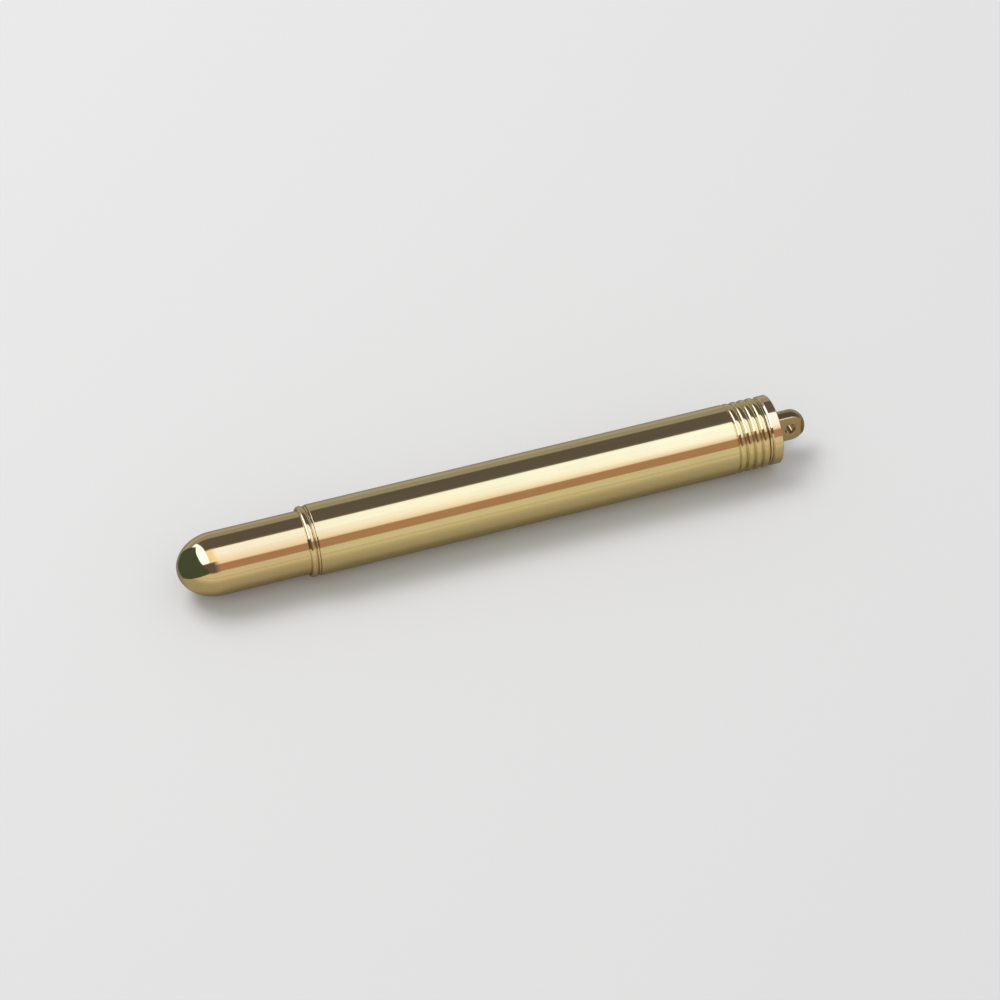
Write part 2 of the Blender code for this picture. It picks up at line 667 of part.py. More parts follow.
def make_cartridge_ball(frame):
    mesh = bpy.data.meshes.new("cartridge_ball")
    shape = bmesh.new()
    bmesh.ops.create_uvsphere(shape, u_segments=14, v_segments=8, radius=BALL_RADIUS * MM)
    shape.to_mesh(mesh)
    shape.free()
    ball = add_object("cartridge_ball", mesh)
    frame.hold(ball, BALL_AT)
    inside = (CARTRIDGE_RADIUS - CARTRIDGE_WALL) * math.cos(math.pi / INNER_SEGMENTS)
    ball.location.x = (inside - BALL_RADIUS - AXIAL_GAP) * MM
    ball.data.shade_smooth()
    finish(ball, "steel")


# ---------------------------------------------------------------- assembly
clear_scene()
PEN = new_collection("fountain_pen")
CUTTERS = new_collection("cutters")

barrel_frame = Frame("barrel_axis", 0)
make_barrel(barrel_frame)
make_barrel_ring(barrel_frame)

cap_frame = Frame("cap_axis", CAP_MOUTH, barrel_frame)
make_cap_tube(cap_frame)
make_inner_cap(cap_frame)
make_clip_ring(cap_frame)
make_end_band(cap_frame)
make_eyelet(cap_frame)
make_finial_fixings(cap_frame)
make_clip(cap_frame)

carrier_frame = Frame("section_carrier_axis", BARREL_END, barrel_frame)
make_trim_ring(carrier_frame)

section_frame = Frame("section_axis", BARREL_END, carrier_frame)
make_section_core(section_frame)
make_grip_sleeve(section_frame)
make_nib_housing(section_frame)

nib_frame = Frame("nib_axis", HOUSING_END, section_frame)
make_nib(nib_frame)
make_feed(nib_frame)

cartridge_frame = Frame("cartridge_axis", CARTRIDGE_END, section_frame)
make_cartridge(cartridge_frame)
make_cartridge_ball(cartridge_frame)
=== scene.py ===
"""The looks of a compact brass fountain pen: fine surfaces, materials, light and camera.

Units are metres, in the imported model's own frame: the pen lies along X with its bullet-shaped end
at -X and its eyelet at +X, the front is -Y, and the table is Z = 0. Distances written in mm are
measured from the bullet tip, and at() turns them into X.
"""
import json
import math

import bmesh
import bpy
from mathutils import Matrix, Quaternion, Vector


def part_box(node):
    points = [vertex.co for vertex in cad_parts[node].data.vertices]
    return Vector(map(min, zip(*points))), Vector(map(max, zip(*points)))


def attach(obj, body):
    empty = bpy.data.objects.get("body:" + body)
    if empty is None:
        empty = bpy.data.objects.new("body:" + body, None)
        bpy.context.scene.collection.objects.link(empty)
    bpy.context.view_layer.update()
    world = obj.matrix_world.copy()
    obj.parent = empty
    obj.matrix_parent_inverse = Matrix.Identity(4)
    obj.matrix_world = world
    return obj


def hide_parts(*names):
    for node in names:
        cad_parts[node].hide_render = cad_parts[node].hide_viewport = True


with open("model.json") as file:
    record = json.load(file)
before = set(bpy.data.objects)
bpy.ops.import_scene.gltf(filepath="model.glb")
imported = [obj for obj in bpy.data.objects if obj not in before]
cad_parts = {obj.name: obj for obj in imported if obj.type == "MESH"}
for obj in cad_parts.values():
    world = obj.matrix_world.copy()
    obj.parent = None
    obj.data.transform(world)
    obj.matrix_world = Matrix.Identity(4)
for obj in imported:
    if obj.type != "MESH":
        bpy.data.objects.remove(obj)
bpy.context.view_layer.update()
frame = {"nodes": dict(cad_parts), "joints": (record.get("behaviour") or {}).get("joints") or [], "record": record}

MM = 0.001
AROUND = 192             # facets round a polished part
AROUND_INNER = 96        # facets round a hidden part
EDGE = 0.06 * MM         # usual rounding of a turned edge
FINE_EDGE = 0.05 * MM    # rounding of an edge that meets another part
GAP = 0.05 * MM          # between the end faces of two parts
STEP_DEGREES = 9         # turn between two points of a rounding
ROOM_SHARE = 0.48        # of the shorter neighbouring side, the most a rounding may use
ON_AXIS = 0.0001 * MM    # a smaller radius than this is a point on the axis
WELD = 0.002 * MM        # points nearer than this are one point
SHARP_DEGREES = 50       # a bend above this stays a sharp edge


# -------- places from the CAD model
def span(node):
    """Start and end along the pen, and radius, of a round CAD node."""
    low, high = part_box(node)
    return low.x, high.x, (high.z - low.z) / 2


TIP, BARREL_END, BARREL_RADIUS = span("barrel_shell")
RING_START, RING_END, RING_RADIUS = span("barrel_ring")
CAP_START, CAP_END, CAP_RADIUS = span("cap_tube")
BAND_START, BAND_END, BAND_RADIUS = span("cap_end_band")
CLIP_RING_START, CLIP_RING_END, _ = span("clip_ring")
SHANK_START, EYELET_END, EYELET_RADIUS = span("finial_eyelet")
AXIS = sum(corner.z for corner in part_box("cap_tube")) / 2


def at(distance):
    """X of a place so many mm from the bullet tip."""
    return TIP + distance * MM


# -------- outlines of turned parts
class Outline:
    """The outline of a turned part, in the plane of its axis, as points with their normals.

    It runs so that the outside is on its left: towards +X along an outer face, back along a bore.
    """

    def __init__(self):
        self.items = []

    def to(self, x, radius, rounding=EDGE):
        """A corner with its rounding."""
        self.items.append([(x, radius, rounding)])
        return self

    def ellipse(self, x, radius, length, height, start, end, steps=24):
        """Part of an ellipse round (x, radius). Angles in degrees, 0 towards +X."""
        run = []
        for i in range(steps + 1):
            angle = math.radians(start + (end - start) * i / steps)
            normal = Vector((math.cos(angle) / length, math.sin(angle) / height)).normalized()
            if (end - start) > 0:
                normal = -normal
            run.append((x + length * math.cos(angle), radius + height * math.sin(angle), normal))
        self.items.append(run)
        return self

    def points(self, closed):
        """(x, radius, normal before, normal after) for every point, corners rounded."""
        found = []
        count = len(self.items)
        for i, item in enumerate(self.items):
            if len(item) > 1:
                found += [(x, r, n, n) for x, r, n in item]
                continue
            (x, r, rounding), = item
            before = self.items[i - 1][-1] if closed or i else None
            after = self.items[(i + 1) % count][0] if closed or i < count - 1 else None
            found += rounded_corner(Vector((x, r)), before, after, rounding)
        return found


def rounded_corner(corner, before, after, rounding):
    """The points of one corner, with their normals."""
    if before is None or after is None:
        other = after or before
        run = Vector(other[:2]) - corner if after else corner - Vector(other[:2])
        normal = Vector((-run.y, run.x)).normalized()
        return [(corner.x, corner.y, normal, normal)]
    come = corner - Vector(before[:2])
    go = Vector(after[:2]) - corner
    room = min(come.length, go.length) * ROOM_SHARE
    come.normalize()
    go.normalize()
    normal_in = Vector((-come.y, come.x))
    normal_out = Vector((-go.y, go.x))
    turn = math.atan2(come.x * go.y - come.y * go.x, come.dot(go))
    if abs(turn) < math.radians(0.5) or not rounding:
        return [(corner.x, corner.y, normal_in, normal_out)]
    back = min(rounding * math.tan(abs(turn) / 2), room)
    radius = back / math.tan(abs(turn) / 2)
    start = corner - come * back
    centre = start + normal_in * (radius if turn > 0 else -radius)
    steps = max(2, round(math.degrees(abs(turn)) / STEP_DEGREES))
    points = []
    for i in range(steps + 1):
        spin = turn * i / steps
        normal = Vector((normal_in.x * math.cos(spin) - normal_in.y * math.sin(spin),
                         normal_in.x * math.sin(spin) + normal_in.y * math.cos(spin)))
        point = centre - normal * (radius if turn > 0 else -radius)
        points.append((point.x, max(point.y, 0.0), normal, normal))
    return points


def lathe(name, outline, closed=True, around=AROUND, relief=None, exact=True):
    """A turned part about the pen's axis, with exact normals unless it is to be carved.

    relief(x, turn) gives (height, slope along x, slope per radian) to add to the radius.
    """
    profile = outline.points(closed)
    shape = bmesh.new()
    rings = []
    for x, radius, _, _ in profile:
        if radius < ON_AXIS:
            rings.append([shape.verts.new((x, 0, AXIS))] * around)
            continue
        ring = []
        for j in range(around):
            turn = 2 * math.pi * j / around
            r = radius + (relief(x, turn)[0] if relief else 0)
            ring.append(shape.verts.new((x, r * math.cos(turn), AXIS + r * math.sin(turn))))
        rings.append(ring)
    normals = []

    def normal_of(i, j, side):
        x, radius, before, after = profile[i]
        flat = before if side else after
        turn = 2 * math.pi * j / around
        _, slope_x, slope_turn = relief(x, turn) if relief else (0, 0, 0)
        along, out = flat.x - flat.y * slope_x, flat.y
        round_it = -flat.y * slope_turn / max(radius, 1e-6)
        return Vector((along, out * math.cos(turn) - round_it * math.sin(turn),
                       out * math.sin(turn) + round_it * math.cos(turn))).normalized()

    last = len(profile) if closed else len(profile) - 1
    for i in range(last):
        k = (i + 1) % len(profile)
        for j in range(around):
            m = (j + 1) % around
            loop = [(i, j, 0), (i, m, 0), (k, m, 1), (k, j, 1)]
            if rings[i][j] is rings[i][m]:
                loop = [(i, j, 0), (k, m, 1), (k, j, 1)]
            elif rings[k][j] is rings[k][m]:
                loop = [(i, j, 0), (i, m, 0), (k, j, 1)]
            if rings[i][j] is rings[i][m] and rings[k][j] is rings[k][m]:
                continue
            shape.faces.new([rings[a][b] for a, b, _ in loop])
            normals += [normal_of(*place) for place in loop]
    mesh = to_mesh(name, shape)
    mesh.shade_smooth()
    if exact:
        mesh.normals_split_custom_set([tuple(n) for n in normals])
    return add_piece(name, mesh)


def to_mesh(name, shape):
    """The bmesh as a mesh, with the bmesh freed."""
    mesh = bpy.data.meshes.new(name)
    shape.to_mesh(mesh)
    shape.free()
    return mesh


def add_piece(name, mesh):
    piece = bpy.data.objects.new(name, mesh)
    bpy.context.scene.collection.objects.link(piece)
    return piece


def dress(piece, body, nodes, material):
    """Finish a piece: its material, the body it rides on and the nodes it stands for."""
    piece.data.materials.clear()
    piece.data.materials.append(material)
    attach(piece, body)
    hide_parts(*nodes)
    return piece


def bake(piece):
    """Replace the piece's mesh by what its modifiers make of it."""
    bpy.context.view_layer.update()
    depsgraph = bpy.context.evaluated_depsgraph_get()
    mesh = bpy.data.meshes.new_from_object(piece.evaluated_get(depsgraph))
    piece.modifiers.clear()
    piece.data = mesh
    return piece


def cutter(kind, matrix, size, sides=64):
    """A box of that size, or a prism of (radius, length) along its Z."""
    shape = bmesh.new()
    if kind == "box":
        bmesh.ops.create_cube(shape, size=1.0)
        bmesh.ops.scale(shape, vec=size, verts=shape.verts)
    else:
        bmesh.ops.create_cone(shape, cap_ends=True, segments=sides, radius1=size[0],
                              radius2=size[0], depth=size[1])
    shape.transform(matrix)
    mesh = to_mesh("cutter", shape)
    return add_piece("cutter", mesh)


def carve(piece, cutters, operation="DIFFERENCE"):
    """Cut the piece with the cutters, which are then removed."""
    for tool in cutters:
        boolean = piece.modifiers.new("carve", "BOOLEAN")
        boolean.operation = operation
        boolean.solver = "EXACT"
        boolean.object = tool
    bake(piece)
    for tool in cutters:
        bpy.data.objects.remove(tool, do_unlink=True)
    return piece


def soften(piece, width, angle=30, segments=3):
    """Round the piece's edges, and shade its faces by their area."""
    weld = piece.modifiers.new("weld", "WELD")
    weld.merge_threshold = WELD
    bevel = piece.modifiers.new("round", "BEVEL")
    bevel.width = width
    bevel.segments = segments
    bevel.limit_method = "ANGLE"
    bevel.angle_limit = math.radians(angle)
    bake(piece)
    piece.data.shade_smooth()
    piece.data.set_sharp_from_angle(angle=math.radians(SHARP_DEGREES))
    weighted = piece.modifiers.new("normals", "WEIGHTED_NORMAL")
    weighted.keep_sharp = True
    weighted.weight = 60
    return bake(piece)


def thread(start, end, pitch, depth, inward):
    """Relief of a right-hand screw thread between two places, run out at both ends."""
    sharp = 0.97

    def relief(x, turn):
        if not start < x < end:
            return 0.0, 0.0, 0.0
        phase = 2 * math.pi * x / pitch - turn
        edge = min((x - start), (end - x)) / pitch
        fade = min(edge, 1.0)
        wave = 0.5 + math.asin(sharp * math.sin(phase)) / (2 * math.asin(sharp))
        rise = (sharp * math.cos(phase) / (2 * math.asin(sharp))
                / math.sqrt(1 - (sharp * math.sin(phase)) ** 2))
        sign = -1 if inward else 1
        height = sign * depth * fade * wave
        return height, sign * depth * fade * rise * 2 * math.pi / pitch, -sign * depth * fade * rise

    return relief


def stations(start, end, count):
    """Evenly spaced places from start to end, both included."""
    return [start + (end - start) * i / count for i in range(count + 1)]


# -------- material kit
def new_material(name):
    material = bpy.data.materials.new(name)
    material.use_nodes = True
    nodes = material.node_tree.nodes
    return material, nodes, material.node_tree.links, nodes["Principled BSDF"]


def node(nodes, kind, **settings):
    made = nodes.new(kind)
    for key, value in settings.items():
        if key in made.inputs:
            made.inputs[key].default_value = value
        else:
            setattr(made, key, value)
    return made


def ramp(nodes, stops):
    """A colour ramp from (place, colour or grey) stops."""
    made = nodes.new("ShaderNodeValToRGB")
    elements = made.color_ramp.elements
    while len(elements) > 1:
        elements.remove(elements[-1])
    for i, (place, colour) in enumerate(stops):
        if isinstance(colour, (int, float)):
            colour = (colour, colour, colour)
        element = elements[0] if i == 0 else elements.new(place)
        element.position = place
        element.color = (*colour, 1.0)
    return made


def noise(nodes, links, vector, scale, stretch=(1, 1, 1), detail=3.0, roughness=0.55):
    """Noise over the piece, stretched along the axes. scale is per metre."""
    mapping = nodes.new("ShaderNodeMapping")
    mapping.inputs["Scale"].default_value = stretch
    links.new(vector, mapping.inputs["Vector"])
    made = node(nodes, "ShaderNodeTexNoise", Scale=scale, Detail=detail, Roughness=roughness)
    links.new(mapping.outputs["Vector"], made.inputs["Vector"])
    return made.outputs["Fac"]


def map_range(nodes, links, value, source, target=(0.0, 1.0)):
    """The value carried from one range to another, held at the ends."""
    made = nodes.new("ShaderNodeMapRange")
    for key, number in zip(("From Min", "From Max", "To Min", "To Max"), source + target):
        made.inputs[key].default_value = number
    links.new(value, made.inputs["Value"])
    return made.outputs[0]


def mix_colour(nodes, links, share, first, second, blend="MIX"):
    """Two colours mixed. share, first and second are a fixed value or a socket."""
    made = nodes.new("ShaderNodeMix")
    made.data_type = "RGBA"
    made.blend_type = blend
    for socket, value in zip((made.inputs[0], made.inputs[6], made.inputs[7]),
                             (share, first, second)):
        if isinstance(value, (float, tuple)):
            socket.default_value = value
        else:
            links.new(value, socket)
    return made.outputs[2]


def math_node(nodes, links, operation, first, second=None, third=None):
    made = nodes.new("ShaderNodeMath")
    made.operation = operation
    for socket, value in zip(made.inputs, (first, second, third)):
        if value is None:
            continue
        if isinstance(value, (int, float)):
            socket.default_value = value
        else:
            links.new(value, socket)
    return made.outputs[0]


def add_bump(nodes, links, shader, height, strength, distance):
    bump = node(nodes, "ShaderNodeBump", Strength=strength, Distance=distance)
    links.new(height, bump.inputs["Height"])
    links.new(bump.outputs["Normal"], shader.inputs["Normal"])


def radius_of(nodes, links, position):
    """Distance from the pen's axis."""
    split = nodes.new("ShaderNodeSeparateXYZ")
    links.new(position, split.inputs[0])
    height = math_node(nodes, links, "SUBTRACT", split.outputs["Z"], AXIS)
    square = math_node(nodes, links, "MULTIPLY", height, height)
    total = math_node(nodes, links, "MULTIPLY_ADD", split.outputs["Y"], split.outputs["Y"], square)
    return math_node(nodes, links, "SQRT", total)


BRASS = (0.905, 0.775, 0.43)
WARM_BRASS = (0.91, 0.74, 0.42)
ROSY_BRASS = (0.96, 0.76, 0.48)
# darker brass for the eyelet: painted shade standing in for the dark surroundings its flats mirror
SHADED_BRASS = (0.70, 0.55, 0.30)
PAINTED_GROOVE_SHADE = (0.74, 0.63, 0.40)         # painted shade: brass darkened at the bottom of a groove
BLACK = (0.018, 0.018, 0.020)


def brass(name, colour=BRASS, polish=0.045, groove=None):
    """Polished brass: smudges, a warm shift, fine streaks along the tube and turning lines.

    groove is (radius where the painted groove shade is darkest, radius where it ends).
    """
    material, nodes, links, shader = new_material(name)
    shader.inputs["Metallic"].default_value = 1.0
    position = nodes.new("ShaderNodeTexCoord").outputs["Object"]

    cloud = noise(nodes, links, position, 110, detail=4)
    shift = ramp(nodes, [(0.30, [c * 0.965 for c in colour]),
                         (0.55, colour),
                         (0.75, (colour[0] * 1.01, colour[1] * 0.985, colour[2] * 0.95))])
    links.new(cloud, shift.inputs[0])
    drawn = noise(nodes, links, position, 1300, stretch=(0.02, 1, 1), detail=3)
    shade = ramp(nodes, [(0.35, 0.955), (0.62, 1.0)])
    links.new(drawn, shade.inputs[0])
    tint = mix_colour(nodes, links, 1.0, shift.outputs[0], shade.outputs[0], "MULTIPLY")
    # painted shade: the brass darkens towards the bottom of a groove
    if groove:
        unshaded = map_range(nodes, links, radius_of(nodes, links, position), groove)
        tint = mix_colour(nodes, links, unshaded, (*PAINTED_GROOVE_SHADE, 1.0), tint)
    links.new(tint, shader.inputs["Base Color"])

    smudge = noise(nodes, links, position, 260, stretch=(0.6, 1, 1), detail=5, roughness=0.65)
    streak = noise(nodes, links, position, 900, stretch=(0.045, 1, 1), detail=2)
    both = math_node(nodes, links, "MULTIPLY", smudge, streak)
    gloss = map_range(nodes, links, both, (0.12, 0.46), (polish, polish + 0.06))
    links.new(gloss, shader.inputs["Roughness"])

    lines = noise(nodes, links, position, 1500, stretch=(0.03, 1, 1), detail=2)
    turning = noise(nodes, links, position, 4200, stretch=(1, 0.02, 0.02), detail=1)
    relief = math_node(nodes, links, "MULTIPLY_ADD", turning, 0.5, lines)
    add_bump(nodes, links, shader, relief, 0.025, 0.02 * MM)
    return material


def plastic(name, colour, gloss, mottle=0.15, clear=0.0):
    """Moulded plastic: a faint flow pattern and fine grain."""
    material, nodes, links, shader = new_material(name)
    shader.inputs["Transmission Weight"].default_value = clear
    shader.inputs["Specular Tint"].default_value = (1.0, 0.93, 0.78, 1)
    position = nodes.new("ShaderNodeTexCoord").outputs["Object"]
    flow = noise(nodes, links, position, 220, stretch=(0.4, 1, 1), detail=4)
    shade = ramp(nodes, [(0.3, [c * (1 - mottle) for c in colour]),
                         (0.7, [min(c * (1 + mottle), 1.0) for c in colour])])
    links.new(flow, shade.inputs[0])
    links.new(shade.outputs[0], shader.inputs["Base Color"])
    sheen = map_range(nodes, links, flow, (0.3, 0.7), (gloss * 0.8, gloss * 1.25))
    links.new(sheen, shader.inputs["Roughness"])
    grain = noise(nodes, links, position, 5200, detail=2)
    add_bump(nodes, links, shader, grain, 0.12, 0.01 * MM)
    return material


def steel(name, polish=0.1, grain=(0.05, 1, 1)):
    """Stainless steel with fine polishing lines."""
    material, nodes, links, shader = new_material(name)
    shader.inputs["Metallic"].default_value = 1.0
    position = nodes.new("ShaderNodeTexCoord").outputs["Object"]
    cloud = noise(nodes, links, position, 300, detail=3)
    shade = ramp(nodes, [(0.3, (0.64, 0.615, 0.55)), (0.7, (0.72, 0.695, 0.62))])
    links.new(cloud, shade.inputs[0])
    links.new(shade.outputs[0], shader.inputs["Base Color"])
    lines = noise(nodes, links, position, 2600, stretch=grain, detail=3)
    gloss = map_range(nodes, links, lines, (0.3, 0.7), (polish, polish + 0.12))
    links.new(gloss, shader.inputs["Roughness"])
    add_bump(nodes, links, shader, lines, 0.06, 0.01 * MM)
    return material


# -------- barrel
BULLET = 6.4 * MM        # length of the rounded end
SPIGOT = 5.12 * MM       # radius of the step that fits the cap's mouth
SPIGOT_END = at(23.6)
BARREL_TUBE = 4.87 * MM  # radius of the thinner tube inside the cap
BARREL_BORE = 4.25 * MM
BORE_BACK = at(6.0)
THREAD_PITCH = 0.8 * MM
THREAD_START = at(43.5)


def make_barrel():
    """Bullet-shaped end, the tube that the cap slides on, and the bore with its thread."""
    outline = Outline()
    outline.ellipse(TIP + BULLET, 0, BULLET, BARREL_RADIUS, 180, 90, steps=48)
    outline.to(RING_START, BARREL_RADIUS, 0)
    outline.to(RING_START + GAP, SPIGOT)
    outline.to(SPIGOT_END - 0.2 * MM, SPIGOT)
    outline.to(SPIGOT_END, BARREL_TUBE)
    outline.to(BARREL_END, BARREL_TUBE, 0.2 * MM)
    outline.to(BARREL_END, BARREL_BORE, 0.12 * MM)
    for x in stations(BARREL_END - 0.25 * MM, THREAD_START, 56):
        outline.to(x, BARREL_BORE, 0)
    outline.ellipse(BORE_BACK, 0, BARREL_BORE, BARREL_BORE, 90, 180, steps=16)
    relief = thread(THREAD_START, BARREL_END - 0.1 * MM, THREAD_PITCH, 0.32 * MM, inward=False)
    barrel = lathe("barrel_body", outline, closed=False, relief=relief)
    dress(barrel, "barrel", ["barrel_shell"],
          brass("barrel_brass", WARM_BRASS))


def make_ring():
    """A half-round bead and a thin rim on the cap's side, with a hairline step between them."""
    bead = 1.1 * MM
    core = 5.36 * MM
    valley = core - 0.06 * MM
    rim = RING_RADIUS - 0.13 * MM
    rim_start = RING_START + bead + 0.1 * MM
    inside = SPIGOT + 0.03 * MM
    outline = Outline()
    outline.to(RING_START, inside, 0.02 * MM)
    outline.ellipse(RING_START + bead / 2, core, bead / 2, RING_RADIUS - core, 180, 0, steps=28)
    outline.to(RING_START + bead, valley, 0.03 * MM)
    outline.to(rim_start, valley, 0.03 * MM)
    outline.to(rim_start, rim, FINE_EDGE)
    outline.to(RING_END, rim, FINE_EDGE)
    outline.to(RING_END, inside, 0.02 * MM)
    ring = lathe("bead_ring", outline)
    dress(ring, "barrel", ["barrel_ring"],
          brass("ring_brass", WARM_BRASS, groove=(valley, core + 0.08 * MM)))


# -------- cap
FIT = 0.06 * MM          # radial play between parts that fit over one another
SHANK = 1.45 * MM        # radius of the eyelet's screw shank
SHANK_HOLE = SHANK + FIT
CAP_BORE = 5.22 * MM
LIP_START = at(95.8)     # the cap's closed end is narrowed from here
LIP_BORE = 4.3 * MM
RIB_START = at(91.95)
RIBS = 4
RIB_DEPTH = 0.42 * MM


def rib_points(outline):
    """Round ribs with narrow grooves between them, their crests level with the tube."""
    pitch = (CAP_END - RIB_START) / RIBS
    rise, half_length = RIB_DEPTH * 0.86, pitch * 0.42
    outline.to(RIB_START - 0.16 * MM, CAP_RADIUS)
    for i in range(RIBS):
        start = RIB_START + i * pitch
        outline.to(start, CAP_RADIUS - RIB_DEPTH, FINE_EDGE)
        outline.ellipse(start + pitch / 2, CAP_RADIUS - rise, half_length, rise, 168, 12, steps=20)
    outline.to(CAP_END, CAP_RADIUS - RIB_DEPTH, FINE_EDGE)


def make_cap():
    """Long tube, open at the bead and ribbed where the end band closes it."""
    outline = Outline()
    outline.to(CAP_START, CAP_RADIUS, 0.14 * MM)
    rib_points(outline)
    outline.to(CAP_END, LIP_BORE, FINE_EDGE)
    outline.to(LIP_START, LIP_BORE, FINE_EDGE)
    outline.to(LIP_START, CAP_BORE, FINE_EDGE)
    outline.to(CAP_START, CAP_BORE, 0.1 * MM)
    cap = lathe("cap_body", outline)
    groove = (CAP_RADIUS - RIB_DEPTH * 1.1, CAP_RADIUS - RIB_DEPTH * 0.7)
    dress(cap, "cap", ["cap_tube"], brass("cap_brass", groove=groove))


def make_end_band():
    """Chamfered band with a sleeve that goes into the cap's end."""
    chamfer = 0.25 * MM
    rim_start = CAP_END + (CLIP_RING_END - CLIP_RING_START) + 0.1 * MM
    outline = Outline()
    outline.to(BAND_START, LIP_BORE - FIT)
    outline.to(rim_start, LIP_BORE - FIT, 0.03 * MM)
    outline.to(rim_start, BAND_RADIUS - chamfer, FINE_EDGE)
    outline.to(rim_start + chamfer, BAND_RADIUS, 0.08 * MM)
    outline.to(BAND_END, BAND_RADIUS, 0.14 * MM)
    outline.to(BAND_END, SHANK_HOLE, FINE_EDGE)
    outline.to(BAND_START, SHANK_HOLE, FINE_EDGE)
    band = lathe("end_band", outline)
    dress(band, "cap", ["cap_end_band"], brass("band_brass", ROSY_BRASS))


def make_eyelet():
    """Round stub with a domed end, two flats and a cross hole with eased edges."""
    dome = 2.5 * MM
    thickness = 2.3 * MM
    hole_radius = 0.95 * MM
    hole_at = at(102.3)
    round_foot, slope_length = 0.35 * MM, 0.9 * MM
    foot = BAND_END + GAP
    outline = Outline()
    outline.to(SHANK_START, 0, 0)
    outline.to(SHANK_START, SHANK, 0.1 * MM)
    outline.to(foot, SHANK, 0)
    outline.to(foot, EYELET_RADIUS, 0)
    outline.ellipse(EYELET_END - dome, 0, dome, EYELET_RADIUS, 90, 0, steps=22)
    eyelet = lathe("eyelet", outline, closed=False, around=128, exact=False)
    flat = next(m for m in frame["record"]["mounts"] if m["name"] == "eyelet_front_flat")
    out = Vector(flat["axis"]).normalized()
    along = Vector((1, 0, 0))
    aside = out.cross(along)
    middle = Vector((hole_at, 0, AXIS))
    turn = Matrix((along, aside, out)).transposed().to_4x4()
    flat_start, flat_end = foot + round_foot, EYELET_END - slope_length
    deep = EYELET_RADIUS
    tools = [cutter("prism", Matrix.Translation(middle) @ turn, (hole_radius, 4 * EYELET_RADIUS))]
    for side in (-1, 1):
        place = (Vector(((flat_start + flat_end) / 2, 0, AXIS))
                 + out * side * (thickness / 2 + deep / 2))
        tool = cutter("box", Matrix.Translation(place) @ turn,
                      (flat_end - flat_start, 4 * EYELET_RADIUS, deep))
        for vertex in tool.data.vertices:  # the cutter leans back, so the flat ends in a slope
            outer = (vertex.co - middle).dot(out) * side > thickness / 2 + deep / 2
            if outer and vertex.co.x > place.x:
                vertex.co.x += deep
        tools.append(tool)
    carve(eyelet, tools)
    soften(eyelet, 0.28 * MM, angle=28, segments=5)
    # the eyelet gets the darker brass: painted shade, the same metal as the cap
    dress(eyelet, "cap", ["finial_eyelet"],
          brass("eyelet_shaded_brass", SHADED_BRASS, polish=0.07))


def make_inner_cap():
    """Plastic liner round the nib."""
    start, end, radius = span("inner_cap")
    bore, floor = 4.6 * MM, at(94.65)
    lead_depth, lead_length = 0.2 * MM, 0.3 * MM
    outline = Outline()
    outline.to(start, radius - lead_depth, 0.1 * MM)
    outline.to(start + lead_length, radius, 0.1 * MM)
    outline.to(end, radius, 0.15 * MM)
    outline.to(end, SHANK_HOLE)
    outline.to(floor, SHANK_HOLE)
    outline.to(floor, bore, 0.4 * MM)
    outline.to(start, bore, 0.1 * MM)
    liner = lathe("inner_cap_liner", outline, around=AROUND_INNER)
    dress(liner, "cap", ["inner_cap"],
          plastic("liner_plastic", (0.62, 0.61, 0.58), 0.42, mottle=0.05))


def make_fixings():
    """Washer and hexagon nut on the eyelet's shank."""
    start, end, radius = span("finial_washer")
    outline = Outline()
    outline.to(start, radius)
    outline.to(end, radius)
    outline.to(end, SHANK_HOLE)
    outline.to(start, SHANK_HOLE)
    washer = lathe("washer", outline, around=AROUND_INNER)
    dress(washer, "cap", ["finial_washer"], steel("washer_steel", 0.2))
    low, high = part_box("finial_nut")
    corner = max(high.z - low.z, high.y - low.y) / 2
    across = corner * math.cos(math.pi / 6)
    chamfer_length = (corner - across) * math.tan(math.radians(30)) * 1.6
    outline = Outline()
    outline.to(low.x, across, 0)
    outline.to(low.x + chamfer_length, corner, 0)
    outline.to(high.x - chamfer_length, corner, 0)
    outline.to(high.x, across, 0)
    outline.to(high.x, SHANK_HOLE, 0)
    outline.to(low.x, SHANK_HOLE, 0)
    nut = lathe("nut", outline, around=AROUND_INNER, exact=False)
    middle = Vector(((low.x + high.x) / 2, 0, AXIS))
    flat_side = 0 if high.z - low.z >= high.y - low.y else math.pi / 2
    turn = Matrix.Rotation(math.pi / 2, 4, "Y") @ Matrix.Rotation(flat_side, 4, "Z")
    carve(nut, [cutter("prism", Matrix.Translation(middle) @ turn, (corner, 4 * MM), sides=6)],
          "INTERSECT")
    soften(nut, 0.04 * MM, segments=2)
    dress(nut, "cap", ["finial_nut"], steel("nut_steel", 0.2))


# -------- clip
HINGE = next(j for j in frame["joints"] if j["name"] == "clip_flex")
HINGE_AT = Vector(HINGE["pos_m"])
CLIP_OUT = Vector((0, HINGE_AT.y, HINGE_AT.z - AXIS)).normalized()
CLIP_ASIDE = Vector((1, 0, 0)).cross(CLIP_OUT)
CLIP_WIDTH = 3.0 * MM
CLIP_THICKNESS = 0.75 * MM
EAR_RADIUS = math.hypot(HINGE_AT.y, HINGE_AT.z - AXIS) + CLIP_THICKNESS / 2
CLIP_TOP = EAR_RADIUS - 0.12 * MM           # a little inside the ear, clear of the table
CLIP_UNDER = EAR_RADIUS - CLIP_THICKNESS


def on_clip(x, radius, aside):
    """A point of the clip: its radius in the clip's own direction, and how far to the side."""
    return Vector((x, 0, AXIS)) + CLIP_OUT * radius + CLIP_ASIDE * aside


def ease(share):
    """0 to 1 with a soft start and end."""
    share = min(max(share, 0.0), 1.0)
    return share * share * (3 - 2 * share)


def quarter_round(distance, length):
    """Height of a quarter circle that rises from 0 to 1 over the length, then stays."""
    return math.sqrt(max(1 - max(1 - distance / length, 0.0) ** 2, 0.0))


